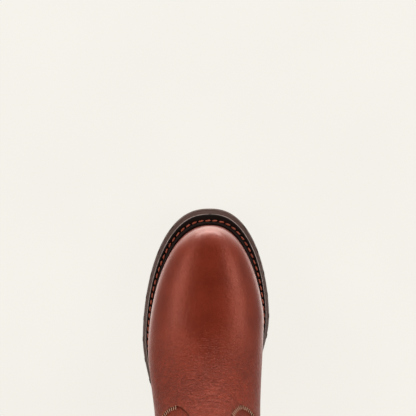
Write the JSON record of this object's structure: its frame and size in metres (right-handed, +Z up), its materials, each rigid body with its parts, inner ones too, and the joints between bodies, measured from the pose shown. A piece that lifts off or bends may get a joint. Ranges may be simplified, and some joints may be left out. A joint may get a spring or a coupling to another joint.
{
  "type": "pull-on work boot",
  "caption": "Left pull-on leather work boot with a round toe, vamp and tongue, welted lug sole, separate heel, open shaft and pull straps.",
  "frame": {"origin": "centre of the bounding box, on the floor that the heel and forefoot stand on", "axes": "+Y runs from the heel to the toe, +X to the inner side of the left foot, +Z up"},
  "size_m": [0.1138, 0.308, 0.294],
  "materials": {
    "leather": "smooth red-brown leather with a soft shine",
    "binding": "thin red-brown leather",
    "footbed": "plain tan leather",
    "welt": "dark brown, satin",
    "sole": "dark brown, matt"
  },
  "bodies": {
    "root": {"upper": "leather", "vamp": "leather", "counter": "leather", "side_seam_inner": "leather", "side_seam_outer": "leather", "collar_binding": "binding", "pull_strap_inner": "leather", "pull_strap_outer": "leather", "insole": "footbed", "welt": "welt", "outsole": "sole", "heel": "sole"}
  },
  "joints": []
}
